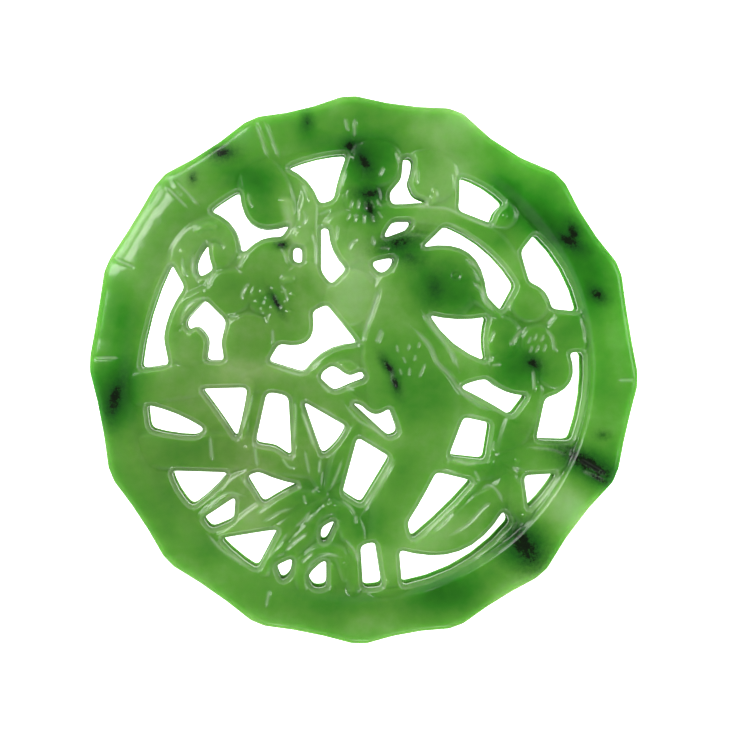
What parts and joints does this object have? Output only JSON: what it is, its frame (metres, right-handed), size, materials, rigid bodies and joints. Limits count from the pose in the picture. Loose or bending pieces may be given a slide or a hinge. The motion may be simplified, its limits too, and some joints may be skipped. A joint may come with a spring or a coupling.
{
  "type": "openwork jade roundel pendant",
  "caption": "Flat round openwork pendant of green jade: a bamboo ring round a bird perched among plum blossom, buds, branches and bamboo leaves.",
  "frame": {"origin": "centre of the roundel's outline, at its flat back face", "axes": "+Z out of the carved front, +Y to the carving's top, +X to its right as seen from the front"},
  "size_m": [0.0542, 0.054, 0.0047],
  "materials": {
    "green_jade": "polished"
  },
  "bodies": {
    "root": {"openwork_roundel": "green_jade"}
  },
  "joints": []
}
